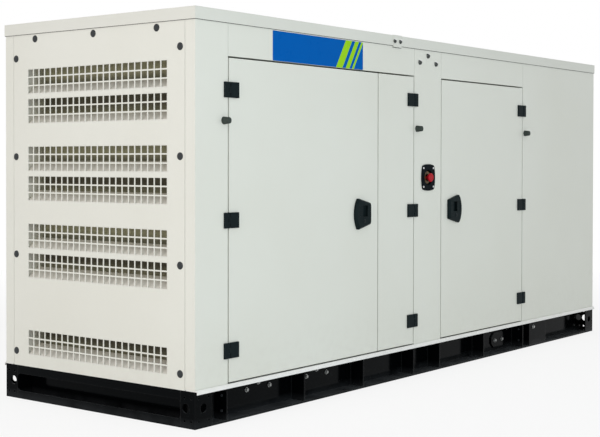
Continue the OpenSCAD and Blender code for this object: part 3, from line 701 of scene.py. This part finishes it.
COLLAR_IN, COLLAR_OUT, COLLAR_H = 0.019, 0.031, 0.018
CHAMFER_OUT, CHAMFER_IN = 0.0012, 0.001
COLLAR_OUTLINE = ((COLLAR_IN, 0), (COLLAR_OUT, 0), (COLLAR_OUT, COLLAR_H - CHAMFER_OUT),
                  (COLLAR_OUT - CHAMFER_OUT, COLLAR_H), (COLLAR_IN + CHAMFER_IN, COLLAR_H),
                  (COLLAR_IN, COLLAR_H - CHAMFER_IN), (COLLAR_IN, 0))
RECESS_FLOOR = 0.020
yellow = Finish("dull_yellow", specular_ior_level=0.4)
fade = yellow.noise(80.0, 3.0).between(0.35, 0.6)
# painted shade: both tones are dark browns
yellow.set({"Base Color": yellow.blend(fade, (0.17, 0.095, 0.030, 1), (0.070, 0.045, 0.022, 1)),
            "Roughness": fade * 0.2 + 0.4})
collar_spot = Vector((bezel_x, post_low.y + RECESS_FLOOR, bezel_z))
piece("stop_ring", placed(turned(COLLAR_OUTLINE, 48), [(collar_spot, OUT_FRONT)]), yellow, "canopy")

# ---- bare plate ----
# A thin enamelled plate on the header over the wide door. It carries a plain blue field with slanted
# green stripes and no words.

PLATE_L, PLATE_H, PLATE_T, PLATE_CORNER = 0.669, 0.128, 0.0012, 0.004
PLATE_IN, PLATE_UP = 0.2875, 0.001
STRIPES = ((0.455, 0.505), (0.53, 0.56), (0.58, 0.595))
STRIPE_SLANT = 0.6
header_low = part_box("front_wide_header")[0]
plate_foot = header_low.z + PLATE_UP
plate_spot = Vector((header_low.x + PLATE_IN + PLATE_L / 2, header_low.y, plate_foot + PLATE_H / 2))

enamel = Finish("blue_and_green_enamel", specular_ior_level=0.015)
along, _, upward = enamel.axes()
slanted = along - upward * STRIPE_SLANT
plate_start = header_low.x + PLATE_IN - plate_foot * STRIPE_SLANT
green = sum((slanted > plate_start + start) * (slanted < plate_start + end) for start, end in STRIPES)
print_cloud = enamel.noise(30.0, 3.0)
blue_ink = enamel.blend(print_cloud, (0.0005, 0.106, 0.435, 1), (0.0005, 0.116, 0.46, 1))
green_ink = enamel.blend(print_cloud, (0.32, 0.65, 0.017, 1), (0.35, 0.69, 0.022, 1))
enamel.set({"Base Color": enamel.blend(green, blue_ink, green_ink), "Roughness": print_cloud * 0.1 + 0.24})
enamel.relief(print_cloud, 0.0002, 0.2)
piece("bare_plate", placed(flat_plate(PLATE_L, PLATE_H, PLATE_T, PLATE_CORNER, 4), [(plate_spot, OUT_FRONT)]),
      enamel, "canopy")

# ---- studio ----
# A plain pale floor in a soft white room. One wide, warm lamp stands off the grille end, and a cooler
# one faces the doors.

FLOOR_R, FLOOR_WHITENESS, FLOOR_FADE = 30.0, 0.84, (2.6, 6.0)
ROOM_LIGHT = 0.575


def seen(nodes):
    """1 for rays from the camera, mirrors or glass, and 0 for those that only carry light."""
    path = nodes.tree.nodes.new("ShaderNodeLightPath")
    kinds = ("Is Camera Ray", "Is Glossy Ray", "Is Transmission Ray")
    return sum(Socket(nodes, path.outputs[kind]) for kind in kinds).between(0.0, 1.0)


floor_bm = bmesh.new()
bmesh.ops.create_circle(floor_bm, cap_ends=True, segments=64, radius=FLOOR_R)
floor_mesh = bpy.data.meshes.new("studio_floor")
floor_bm.to_mesh(floor_mesh)
floor_bm.free()
studio_floor = bpy.data.objects.new("studio_floor", floor_mesh)
bpy.context.scene.collection.objects.link(studio_floor)
pale_floor = Finish("pale_floor", roughness=0.9, specular_ior_level=0.05)
floor_cloud = pale_floor.noise(0.8, 2.0)
pale_floor.set({"Base Color": pale_floor.blend(floor_cloud, (0.89, 0.89, 0.89, 1), (0.87, 0.87, 0.87, 1))})

# The floor passes into plain white for the rays that see it, and more so further out.

far_out = pale_floor.node("ShaderNodeVectorMath", {"operation": "LENGTH"}, {0: pale_floor.place}, "Value")
whiteness = seen(pale_floor) * (far_out.between(*FLOOR_FADE) * (1 - FLOOR_WHITENESS) + FLOOR_WHITENESS)
white = pale_floor.node("ShaderNodeEmission", None, {"Color": (1, 1, 1, 1), "Strength": 1.0})
paint = Socket(pale_floor, pale_floor.shader.outputs["BSDF"])
mixed = pale_floor.node("ShaderNodeMixShader", None, {0: whiteness, 1: paint, 2: white})
pale_floor.feed(pale_floor.tree.nodes["Material Output"], {"Surface": mixed})
studio_floor.data.materials.append(pale_floor.material)

world = bpy.data.worlds.new("soft_room")
bpy.context.scene.world = world
world.use_nodes = True
room = Nodes(world.node_tree)
room.feed(room.tree.nodes["Background"],
          {"Color": (1, 1, 1, 1), "Strength": seen(room) * (1 - ROOM_LIGHT) + ROOM_LIGHT})


def lamp(name, place, target, size, watts, colour):
    light = bpy.data.lights.new(name, "AREA")
    light.shape = "DISK"
    light.size = size
    light.energy = watts
    light.color = colour
    obj = bpy.data.objects.new(name, light)
    bpy.context.scene.collection.objects.link(obj)
    obj.location = place
    obj.rotation_euler = (Vector(target) - Vector(place)).to_track_quat("-Z", "Y").to_euler()


lamp("end_lamp", place=(-6.8, -0.8, 1.6), target=(-1.8, 0, 0.8), size=4.0, watts=96.6,
     colour=(1.0, 0.865, 0.844))
lamp("door_lamp", place=(-3.2, -5.5, 1.8), target=(-1.0, -0.5, 0.9), size=3.5, watts=94.6,
     colour=(0.832, 0.93, 1.0))

# The camera stands off the corner of the grille end and the door side, at about an adult's chest.

CAMERA_PLACE = (-5.441, -3.892, 1.059)
HEADING, PITCH, ROLL = 0.660, -0.0147, 0.0016
LENS, SENSOR_W, SHIFT_UP = 73.9, 36.0, -0.062
camera_data = bpy.data.cameras.new("camera")
camera_data.lens = LENS
camera_data.sensor_width = SENSOR_W
camera_data.shift_y = SHIFT_UP
camera = bpy.data.objects.new("camera", camera_data)
bpy.context.scene.collection.objects.link(camera)
camera.matrix_world = (Matrix.Translation(CAMERA_PLACE)
                       @ Matrix.Rotation(HEADING - math.pi / 2, 4, "Z")
                       @ Matrix.Rotation(math.pi / 2 + PITCH, 4, "X")
                       @ Matrix.Rotation(ROLL, 4, "Z"))
bpy.context.scene.camera = camera
bpy.context.scene.view_settings.view_transform = "Standard"
